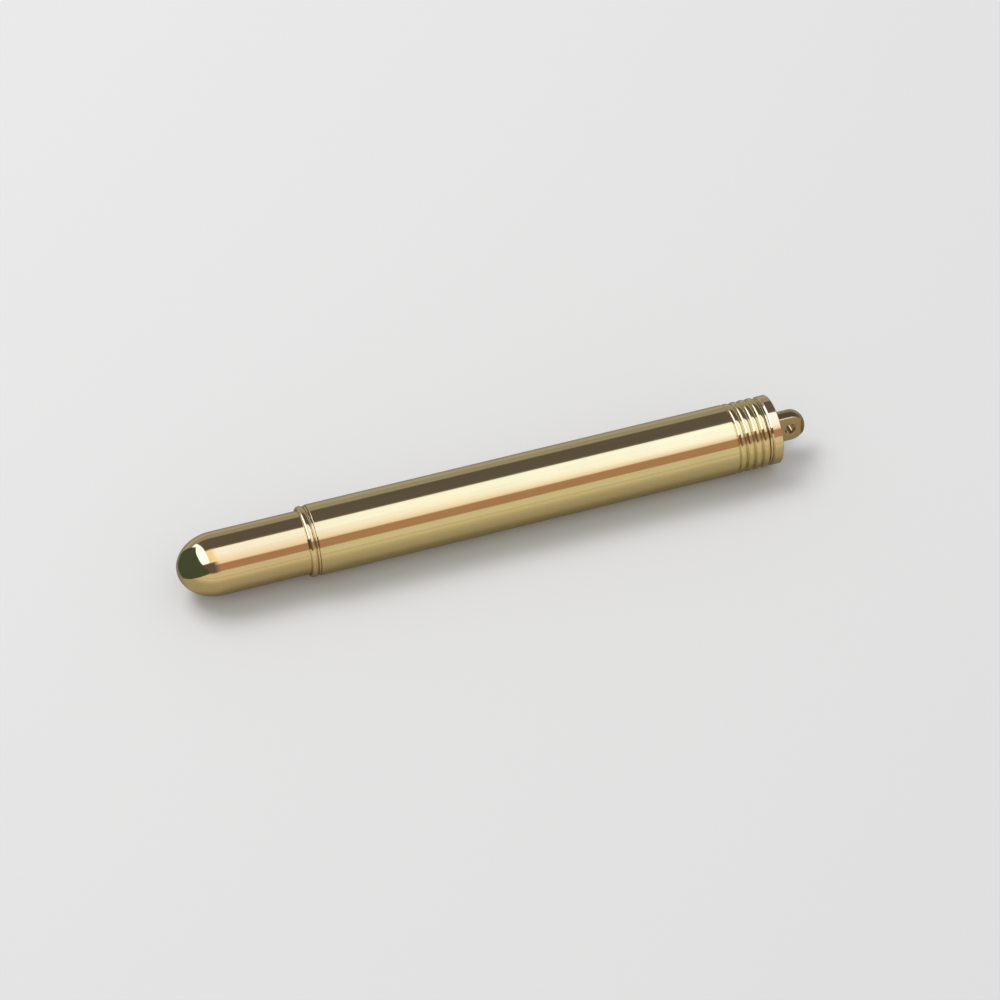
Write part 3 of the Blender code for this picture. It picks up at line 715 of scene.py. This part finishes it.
def make_clip():
    """Sprung strap with crowned faces, thicker at its tip, where it touches the cap."""
    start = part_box("clip")[0].x
    end = CLIP_RING_START - 0.02 * MM
    touch = 5.8 * MM
    pad_end = start + 7.7 * MM
    pad_slope = 3.2 * MM
    nose = 1.7 * MM
    nose_mid = CLIP_TOP - 0.55 * MM
    plan_nose, plan_least = 0.9 * MM, 0.55
    root_edge = 0.06 * MM

    def section(x):
        """Outer and inner radius of the strap, and its half width."""
        under = touch + (CLIP_UNDER - touch) * ease((x - pad_end + pad_slope) / pad_slope)
        share, plan = quarter_round(x - start, nose), quarter_round(x - start, plan_nose)
        outer = nose_mid + (CLIP_TOP - nose_mid) * share
        inner = nose_mid + (under - nose_mid) * share
        return outer, inner, CLIP_WIDTH / 2 * (plan_least + (1 - plan_least) * plan)

    nose_steps = 24
    places = [start + nose * (1 - math.cos(math.pi / 2 * i / nose_steps))
              for i in range(1, nose_steps + 1)]
    places += stations(start + nose, pad_end, 30)[1:]
    places += stations(pad_end, end, 60)[1:]
    places.append(end)  # a second, smaller ring there rounds off the root
    count, squareness = 56, 0.30
    shape = bmesh.new()
    rings = []
    for k, x in enumerate(places):
        outer, inner, half = section(x)
        if k == len(places) - 1:
            outer, inner, half = outer - root_edge, inner + root_edge, half - root_edge
        middle, tall = (outer + inner) / 2, (outer - inner) / 2
        ring = []
        for j in range(count):
            turn = 2 * math.pi * (j + 0.5) / count
            c, d = math.cos(turn), math.sin(turn)
            aside = math.copysign(abs(c) ** squareness, c) * half
            rise = math.copysign(abs(d) ** squareness, d) * tall
            ring.append(shape.verts.new(on_clip(x, middle + rise, aside)))
        rings.append(ring)
    for before, after in zip(rings, rings[1:]):
        for j in range(count):
            m = (j + 1) % count
            shape.faces.new((before[j], before[m], after[m], after[j]))
    shape.faces.new(rings[0])
    shape.faces.new(rings[-1])
    bmesh.ops.recalc_face_normals(shape, faces=shape.faces)
    mesh = to_mesh("clip_strap", shape)
    mesh.shade_smooth()
    mesh.set_sharp_from_angle(angle=math.radians(SHARP_DEGREES))
    strap = add_piece("clip_strap", mesh)
    dress(strap, "clip", ["clip"], brass("clip_brass", polish=0.06))


def make_clip_ring():
    """Washer with an ear that carries the strap."""
    ring_radius = 5.42 * MM
    edge = math.asin(CLIP_WIDTH / 2 / ring_radius)
    around, in_ear = 160, 12
    turns = [edge + (2 * math.pi - 2 * edge) * i / around for i in range(around + 1)]
    outer = [(ring_radius * math.cos(a), ring_radius * math.sin(a)) for a in turns]
    outer += [(EAR_RADIUS, -CLIP_WIDTH / 2 + CLIP_WIDTH * i / in_ear) for i in range(in_ear + 1)]
    shape = bmesh.new()
    layers = []
    for x in (CLIP_RING_START, CLIP_RING_END):
        rim = [shape.verts.new(on_clip(x, *place)) for place in outer]
        bore = []
        for radius, aside in outer:
            turn = math.atan2(aside, radius)
            bore.append(shape.verts.new(on_clip(x, LIP_BORE * math.cos(turn),
                                                LIP_BORE * math.sin(turn))))
        layers.append((rim, bore))
    (rim, bore), (far_rim, far_bore) = layers
    for j in range(len(outer)):
        m = (j + 1) % len(outer)
        shape.faces.new((rim[j], rim[m], bore[m], bore[j]))
        shape.faces.new((far_rim[m], far_rim[j], far_bore[j], far_bore[m]))
        shape.faces.new((rim[m], rim[j], far_rim[j], far_rim[m]))
        shape.faces.new((bore[j], bore[m], far_bore[m], far_bore[j]))
    bmesh.ops.recalc_face_normals(shape, faces=shape.faces)
    mesh = to_mesh("clip_washer", shape)
    washer = soften(add_piece("clip_washer", mesh), FINE_EDGE, segments=2)
    dress(washer, "cap", ["clip_ring"], brass("clip_ring_brass", polish=0.07))


# -------- section
def make_trim_ring():
    """Black ring between the barrel and the grip."""
    start, end, radius = span("section_trim_ring")
    bore, chamfer = 3.56 * MM, 0.12 * MM
    outline = Outline()
    outline.to(start, radius - chamfer)
    outline.to(start + chamfer, radius)
    outline.to(end - chamfer, radius)
    outline.to(end, radius - chamfer)
    outline.to(end, bore)
    outline.to(start, bore)
    ring = lathe("trim_ring", outline)
    dress(ring, "section_carrier", ["section_trim_ring"],
          plastic("trim_plastic", BLACK, 0.24))


def make_core():
    """Threaded core: its thread runs inside the CAD part's plain radius."""
    start, end, radius = span("section_core")
    thread_end, neck, tube = at(48.3), 3.5 * MM, 3.7 * MM
    rear_bore, front_bore, step = 2.9 * MM, 3.2 * MM, at(52.9)
    chamfer_depth, chamfer_length = 0.34 * MM, 0.3 * MM
    shoulder = span("section_trim_ring")[1] + GAP
    outline = Outline()
    outline.to(start, radius - chamfer_depth, 0.08 * MM)
    for x in stations(start + chamfer_length, thread_end - chamfer_length, 60):
        outline.to(x, radius, 0)
    outline.to(thread_end, radius - chamfer_depth, FINE_EDGE)
    outline.to(thread_end, neck, FINE_EDGE)
    outline.to(shoulder, neck, FINE_EDGE)
    outline.to(shoulder, tube, FINE_EDGE)
    outline.to(end, tube, FINE_EDGE)
    outline.to(end, front_bore, FINE_EDGE)
    outline.to(step, front_bore, FINE_EDGE)
    outline.to(step, rear_bore, FINE_EDGE)
    outline.to(start, rear_bore, FINE_EDGE)
    relief = thread(start + 0.25 * MM, thread_end - 0.25 * MM, THREAD_PITCH, 0.3 * MM, inward=True)

    core = lathe("threaded_core", outline, relief=relief)
    dress(core, "section", ["section_core"],
          plastic("core_plastic", BLACK, 0.30))


def make_grip():
    """Tapering sleeve with one turned line."""
    start, end, radius = span("grip_sleeve")
    front = 4.3 * MM
    inside = 3.76 * MM
    rear_edge = 0.15 * MM
    line, half_width, depth = at(56.5), 0.19 * MM, 0.22 * MM

    def taper(x):
        return radius + (front - radius) * (x - start) / (end - start)

    outline = Outline()
    outline.to(start, radius - rear_edge, 0.1 * MM)
    outline.to(start + rear_edge, taper(start + rear_edge), rear_edge)
    outline.to(line - half_width, taper(line - half_width), FINE_EDGE)
    outline.to(line, taper(line) - depth, 0.06 * MM)
    outline.to(line + half_width, taper(line + half_width), FINE_EDGE)
    outline.to(end, front, 0.18 * MM)
    outline.to(end, inside)
    outline.to(start, inside)
    grip = lathe("grip", outline)
    dress(grip, "section", ["grip_sleeve"],
          brass("grip_brass", groove=(taper(line) - depth, taper(line) - depth * 0.4)))


def make_housing():
    """Collar for nib and feed, with the nipple that goes into the cartridge."""
    start, end, radius = span("nib_housing")
    collar, body, socket = at(61.45), 3.14 * MM, 2.45 * MM
    nipple, feed_hole = 1.3 * MM, 0.5 * MM
    nipple_end, socket_floor = at(53.2), at(54.7)
    outline = Outline()
    outline.to(start, nipple - 0.3 * MM, 0.1 * MM)
    outline.to(start + 0.5 * MM, nipple, 0.2 * MM)
    outline.to(nipple_end, nipple, 0.15 * MM)
    outline.to(nipple_end, body, 0.15 * MM)
    outline.to(collar, body, 0.04 * MM)
    outline.to(collar, radius, 0.12 * MM)
    outline.to(end - 0.5 * MM, radius - 0.08 * MM, 0.5 * MM)
    outline.to(end, radius - 0.5 * MM, 0.25 * MM)
    outline.to(end, socket, 0.08 * MM)
    outline.to(socket_floor, socket, 0.08 * MM)
    outline.to(socket_floor, feed_hole, 0.08 * MM)
    outline.to(start, feed_hole, FINE_EDGE)
    housing = lathe("housing", outline)
    dress(housing, "section", ["nib_housing"],
          plastic("housing_plastic", BLACK, 0.20))


# -------- nib and feed
NIB_START, NIB_END, _ = span("nib")
NIB_FLARE = at(63.9)
NIB_SHOULDER = at(67.6)
NIB_ROOT_RADIUS = 2.16 * MM
NIB_ROOT_HALF_ANGLE = math.radians(100)
NIB_SHOULDER_RADIUS = 3.3 * MM
NIB_SHOULDER_HALF_WIDTH = 3.05 * MM
NIB_TIP_HALF_WIDTH = 0.3 * MM
NIB_DROP = 1.35 * MM
BREATHER_AT = at(69.6)


def nib_section(x):
    """Radius, half angle and crown height of the nib's curved section."""
    flare = ease((x - NIB_FLARE) / (NIB_SHOULDER - NIB_FLARE))
    radius = NIB_ROOT_RADIUS + (NIB_SHOULDER_RADIUS - NIB_ROOT_RADIUS) * flare
    shoulder_angle = math.asin(NIB_SHOULDER_HALF_WIDTH / NIB_SHOULDER_RADIUS)
    half_angle = NIB_ROOT_HALF_ANGLE + (shoulder_angle - NIB_ROOT_HALF_ANGLE) * flare
    if x > NIB_SHOULDER:
        left = 1 - (x - NIB_SHOULDER) / (NIB_END - NIB_SHOULDER)
        width = NIB_TIP_HALF_WIDTH + (NIB_SHOULDER_HALF_WIDTH - NIB_TIP_HALF_WIDTH) * left ** 0.85
        half_angle = math.asin(width / radius)
    forward = max(x - NIB_FLARE, 0) / (NIB_END - NIB_FLARE)
    return radius, half_angle, NIB_ROOT_RADIUS - NIB_DROP * forward ** 1.3


def make_nib():
    """Curved steel sheet with a breather hole and a slit to the point."""
    rows, columns = 130, 44
    thickness, hole_radius, slit_width = 0.22 * MM, 0.5 * MM, 0.1 * MM
    shape = bmesh.new()
    grid = []
    for x in stations(NIB_START, NIB_END, rows):
        radius, half_angle, crown = nib_section(x)
        row = []
        for j in range(columns + 1):
            turn = half_angle * (2 * j / columns - 1)
            height = crown - radius * (1 - math.cos(turn))
            row.append(shape.verts.new((x, radius * math.sin(turn), AXIS + height)))
        grid.append(row)
    for low, high in zip(grid, grid[1:]):
        for j in range(columns):
            shape.faces.new((low[j], high[j], high[j + 1], low[j + 1]))
    mesh = to_mesh("nib_sheet", shape)
    nib = add_piece("nib_sheet", mesh)
    sheet = nib.modifiers.new("sheet", "SOLIDIFY")
    sheet.thickness = thickness
    sheet.offset = 0
    bake(nib)
    hole = Matrix.Translation((BREATHER_AT, 0, AXIS + NIB_ROOT_RADIUS))
    slit_length = NIB_END + 1 * MM - BREATHER_AT
    slit = Matrix.Translation((BREATHER_AT + slit_length / 2, 0, AXIS + NIB_ROOT_RADIUS / 2))
    carve(nib, [cutter("prism", hole, (hole_radius, 2 * NIB_ROOT_RADIUS), sides=48),
                cutter("box", slit, (slit_length, slit_width, 2 * NIB_ROOT_RADIUS))])
    soften(nib, 0.03 * MM, angle=40, segments=2)
    dress(nib, "nib_unit", ["nib"], steel("nib_steel", 0.07))


def make_tipping():
    """Hard ball on the point, slit in two, a little flat where it writes."""
    low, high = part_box("nib_tipping")
    middle, radius = (low + high) / 2, (high.x - low.x) / 2
    writing_flat, slimmer_back = -0.86 * radius, 0.15
    slit_width, slit_depth = 0.10 * radius, 0.22
    shape = bmesh.new()
    bmesh.ops.create_icosphere(shape, subdivisions=5, radius=radius)
    for vertex in shape.verts:
        back = max(-vertex.co.x / radius, 0.0)
        vertex.co.z = max(vertex.co.z, writing_flat) * (1 - slimmer_back * back)
        slit = math.exp(-(vertex.co.y / slit_width) ** 2)
        vertex.co.x *= 1 - slit_depth * slit
        vertex.co.z *= 1 - slit_depth * slit
    shape.transform(Matrix.Translation(middle))
    mesh = to_mesh("nib_point", shape)
    mesh.shade_smooth()
    dress(add_piece("nib_point", mesh), "nib_unit", ["nib_tipping"],
          steel("point_steel", 0.16))


def make_feed():
    """Round feed with a comb of fins behind, a tapering front and a channel in its sloping top."""
    start, end, radius = span("feed")
    taper_start, tip_radius = at(66.0), 0.75 * MM
    comb_start, comb_pitch, fins = at(64.3), 0.62 * MM, 12
    slot_depth, slot_width, slot_slope = 0.42 * MM, 0.28 * MM, 0.02 * MM
    top_back, top_front = 1.33 * MM, 0.35 * MM
    channel_width, channel_depth = 0.35 * MM, 0.3 * MM
    nose_length, nose_step = 1 * MM, 0.12 * MM
    past = 2 * MM  # how much longer the cutters are than the sloping top
    housing_end = span("nib_housing")[1]

    def body(x):
        if x < taper_start:
            return radius
        share = (x - taper_start) / (end - nose_length - taper_start)
        return radius + (tip_radius + nose_step - radius) * min(share, 1.0)

    outline = Outline()
    outline.to(start, 0, 0)
    outline.to(start, radius, 0.1 * MM)
    for i in range(fins):
        x = comb_start + i * comb_pitch
        outline.to(x, body(x), 0)
        outline.to(x + slot_slope, body(x) - slot_depth, 0)
        outline.to(x + slot_width - slot_slope, body(x) - slot_depth, 0)
        outline.to(x + slot_width, body(x), 0)
    outline.to(end - nose_length, body(end - nose_length), 0.3 * MM)
    outline.to(end, tip_radius * 0.6, 0.15 * MM)
    outline.to(end, 0, 0)
    feed = lathe("feed_comb", outline, closed=False, around=AROUND_INNER, exact=False)
    run = end - housing_end
    slope = math.atan2(top_back - top_front, run)
    centre = Vector(((housing_end + end + past) / 2, 0,
                     AXIS + (top_back + top_front) / 2 + radius))
    tilt = Matrix.Rotation(slope, 4, "Y")
    top = Matrix.Translation(centre) @ tilt
    channel = Matrix.Translation(centre - Vector((0, 0, channel_depth))) @ tilt
    carve(feed, [cutter("box", top, (run + past, 4 * radius, 2 * radius)),
                 cutter("box", channel, (run + past, channel_width, 2 * radius))])
    feed.data.shade_smooth()
    feed.data.set_sharp_from_angle(angle=math.radians(30))
    dress(feed, "nib_unit", ["feed"],
          plastic("feed_plastic", (0.016, 0.016, 0.018), 0.38))


# -------- cartridge
def make_cartridge():
    """Hollow cartridge. Its ball is the CAD's own, with steel put on it."""
    start, end, radius = span("ink_cartridge")
    wall, neck, mouth, mouth_length = 0.45 * MM, 2.4 * MM, 1.36 * MM, 2 * MM
    shoulder, neck_start = at(41.8), at(43.1)
    chamfer, inner_chamfer = 0.5 * MM, 0.3 * MM
    outline = Outline()
    outline.to(start, 0, 0)
    outline.to(start, radius - chamfer, 0.4 * MM)
    outline.to(start + chamfer, radius, 0.4 * MM)
    outline.to(shoulder, radius, 0.5 * MM)
    outline.to(neck_start, neck, 0.4 * MM)
    outline.to(end, neck, 0.15 * MM)
    outline.to(end, mouth, FINE_EDGE)
    outline.to(end - mouth_length, mouth, FINE_EDGE)
    outline.to(end - mouth_length, neck - wall, FINE_EDGE)
    outline.to(neck_start, neck - wall, 0.3 * MM)
    outline.to(shoulder, radius - wall, 0.3 * MM)
    outline.to(start + wall + inner_chamfer, radius - wall, 0.2 * MM)
    outline.to(start + wall, radius - wall - inner_chamfer, 0.2 * MM)
    outline.to(start + wall, 0, 0)
    cartridge = lathe("cartridge", outline, closed=False, around=AROUND_INNER)
    dress(cartridge, "cartridge", ["ink_cartridge"],
          plastic("cartridge_plastic", (0.10, 0.12, 0.20), 0.25, clear=0.35))
    ball = frame["nodes"]["cartridge_ball"]
    ball.data.materials.clear()
    ball.data.materials.append(steel("ball_steel", 0.06, grain=(1, 1, 1)))


# -------- camera, floor and light
def look_at(camera, aim, azimuth, elevation, distance, roll):
    """Put the camera round the aim. Azimuth 0 looks along +Y. Angles in degrees."""
    turn, rise = math.radians(azimuth), math.radians(elevation)
    back = Vector((math.sin(turn) * math.cos(rise), -math.cos(turn) * math.cos(rise),
                   math.sin(rise)))
    camera.rotation_mode = "QUATERNION"
    level = back.to_track_quat("Z", "Y")
    camera.rotation_quaternion = level @ Quaternion((0, 0, 1), math.radians(roll))
    camera.location = aim + back * distance


def make_camera():
    """Long lens over the middle of the pen."""
    data = bpy.data.cameras.new("camera")
    data.lens = 123.5
    data.sensor_width = 36.0
    data.clip_start = 0.01
    data.clip_end = 20.0
    camera = bpy.data.objects.new("camera", data)
    bpy.context.scene.collection.objects.link(camera)
    aim = Vector((0.00027, -0.00096, AXIS - 0.00013))
    look_at(camera, aim, azimuth=-19.68, elevation=50.71, distance=0.546, roll=1.83)
    bpy.context.scene.camera = camera


def make_floor():
    """Pale floor. Polished metal sees it as a warm card, with painted shade that darkens it close to the pen."""
    half_size = 4.0
    shade_near, shade_far, shade_least = 2.2 * CAP_RADIUS, 8 * CAP_RADIUS, 0.62
    card_front, card_back, card_change = (0.64, 0.58, 0.44), (0.40, 0.385, 0.36), 2 * MM
    shape = bmesh.new()
    bmesh.ops.create_grid(shape, x_segments=1, y_segments=1, size=half_size)
    mesh = to_mesh("floor", shape)
    floor = add_piece("floor", mesh)
    material, nodes, links, shader = new_material("floor")
    shader.inputs["Base Color"].default_value = (0.80, 0.80, 0.79, 1)
    shader.inputs["Roughness"].default_value = 0.9
    shader.inputs["Specular IOR Level"].default_value = 0.1
    card = nodes.new("ShaderNodeBsdfDiffuse")
    place = nodes.new("ShaderNodeSeparateXYZ")
    links.new(nodes.new("ShaderNodeTexCoord").outputs["Object"], place.inputs[0])
    # painted shade: the card as the metal sees it darkens towards the pen
    distance = math_node(nodes, links, "ABSOLUTE", place.outputs["Y"])
    painted_pen_shade = map_range(nodes, links, distance, (shade_near, shade_far), (shade_least, 1.0))
    towards_back = map_range(nodes, links, place.outputs["Y"], (-card_change, card_change))
    side = ramp(nodes, [(0.0, card_front), (1.0, card_back)])
    links.new(towards_back, side.inputs[0])
    shaded = nodes.new("ShaderNodeVectorMath")
    shaded.operation = "SCALE"
    links.new(side.outputs[0], shaded.inputs[0])
    links.new(painted_pen_shade, shaded.inputs["Scale"])
    links.new(shaded.outputs[0], card.inputs["Color"])
    path = nodes.new("ShaderNodeLightPath")
    choose = nodes.new("ShaderNodeMixShader")
    links.new(path.outputs["Is Glossy Ray"], choose.inputs[0])
    links.new(shader.outputs[0], choose.inputs[1])
    links.new(card.outputs[0], choose.inputs[2])
    links.new(choose.outputs[0], nodes["Material Output"].inputs["Surface"])
    mesh.materials.append(material)


def band_light(nodes, links, angle, stops):
    """Light by angle round the pen, in degrees from straight up, + towards the front."""
    made = ramp(nodes, [((degrees + 180) / 360, colour) for degrees, colour in stops])
    links.new(map_range(nodes, links, angle, (-math.pi, math.pi)), made.inputs[0])
    return made.outputs[0]


def make_world():
    """Plain pale surroundings, and what polished metal sees in them: softboxes and dark flags."""
    world = bpy.data.worlds.new("studio")
    bpy.context.scene.world = world
    world.use_nodes = True
    nodes, links = world.node_tree.nodes, world.node_tree.links
    background = nodes["Background"]
    direction = nodes.new("ShaderNodeTexCoord").outputs["Generated"]
    split = nodes.new("ShaderNodeSeparateXYZ")
    links.new(direction, split.inputs[0])
    towards_front = math_node(nodes, links, "MULTIPLY", split.outputs["Y"], -1)
    angle = math_node(nodes, links, "ARCTAN2", towards_front, split.outputs["Z"])
    plain = (0.62, 0.62, 0.63)
    pale = (0.33, 0.31, 0.28)
    dark = (0.115, 0.103, 0.108)
    dark_edge = (0.16, 0.145, 0.13)
    rose = (0.95, 0.86, 0.88)
    rose_edge = (0.82, 0.70, 0.64)
    copper = (0.43, 0.247, 0.175)
    warm = (0.64, 0.60, 0.50)
    brown = (0.13, 0.10, 0.10)
    window = (1.50, 1.60, 2.15)
    tan = (0.98, 0.84, 0.66)
    slate = (0.15, 0.20, 0.15)

    def studio(upper, lower):
        """The bands that a lying tube mirrors, with one softbox shaded from upper to lower."""
        return band_light(nodes, links, angle, [
            (-179, pale), (-68, pale), (-65, dark), (-24, dark), (-17, dark_edge), (-14, upper),
            (8, upper), (27, lower), (38, rose), (42, rose_edge), (44, copper), (68, copper),
            (70, warm), (179, warm)])

    middle = studio((1.08, 1.17, 1.46), (1.02, 0.99, 1.12))
    middle_right = studio((1.12, 1.24, 1.62), (1.09, 1.15, 1.42))
    left = band_light(nodes, links, angle, [
        (-179, pale), (-70, pale), (-67, dark), (-20, dark), (-14, tan), (30, tan),
        (33, brown), (70, brown), (74, warm), (179, warm)])
    far_left = band_light(nodes, links, angle, [
        (-179, pale), (-74, pale), (-70, window), (29, window), (33, brown), (70, brown),
        (74, warm), (179, warm)])
    right = band_light(nodes, links, angle, [(-179, slate), (179, slate)])

    seen = far_left
    for onward, start, end in ((left, -0.32, -0.29), (middle, -0.14, 0.08),
                               (middle_right, 0.16, 0.27), (right, 0.76, 0.88)):
        # from one stretch of the studio to the next, as the direction's X goes from start to end
        share = map_range(nodes, links, split.outputs["X"], (start, end))
        seen = mix_colour(nodes, links, share, seen, onward)
    glossy = nodes.new("ShaderNodeLightPath").outputs["Is Glossy Ray"]
    links.new(mix_colour(nodes, links, glossy, (*plain, 1.0), seen), background.inputs["Color"])


def make_nose_card():
    """Green card standing beyond the bullet tip, seen only in polished metal."""
    x = TIP - 8 * MM
    front, back, top = -30 * MM, 22 * MM, 24 * MM
    front_low = 0.7 * top
    mesh = bpy.data.meshes.new("nose_card")
    mesh.from_pydata([(x, front, front_low), (x, 0, 0), (x, back, 0), (x, back, top),
                      (x, front, top)], [], [(0, 1, 2, 3, 4)])
    card = add_piece("nose_card", mesh)
    material, nodes, links, _ = new_material("nose_card")
    glow = nodes.new("ShaderNodeEmission")
    glow.inputs["Color"].default_value = (0.062, 0.090, 0.066, 1)
    links.new(glow.outputs[0], nodes["Material Output"].inputs["Surface"])
    mesh.materials.append(material)
    card.visible_camera = False
    card.visible_diffuse = False
    card.visible_transmission = False
    card.visible_shadow = False


def make_key():
    """Large soft light from behind, on the left, for the shadow in front of the pen."""
    data = bpy.data.lights.new("key", "AREA")
    data.shape = "RECTANGLE"
    data.size = 0.7
    data.size_y = 0.5
    data.energy = 5.5
    light = bpy.data.objects.new("key", data)
    bpy.context.scene.collection.objects.link(light)
    light.location = (-0.35, 0.45, 0.95)
    light.rotation_mode = "QUATERNION"
    light.rotation_quaternion = light.location.to_track_quat("Z", "Y")
    light.visible_glossy = False
    light.visible_camera = False


make_barrel()
make_ring()
make_cap()
make_end_band()
make_eyelet()
make_inner_cap()
make_fixings()
make_clip()
make_clip_ring()
make_trim_ring()
make_core()
make_grip()
make_housing()
make_nib()
make_tipping()
make_feed()
make_cartridge()
make_camera()
make_floor()
make_nose_card()
make_world()
make_key()
bpy.context.scene.view_settings.view_transform = "Standard"
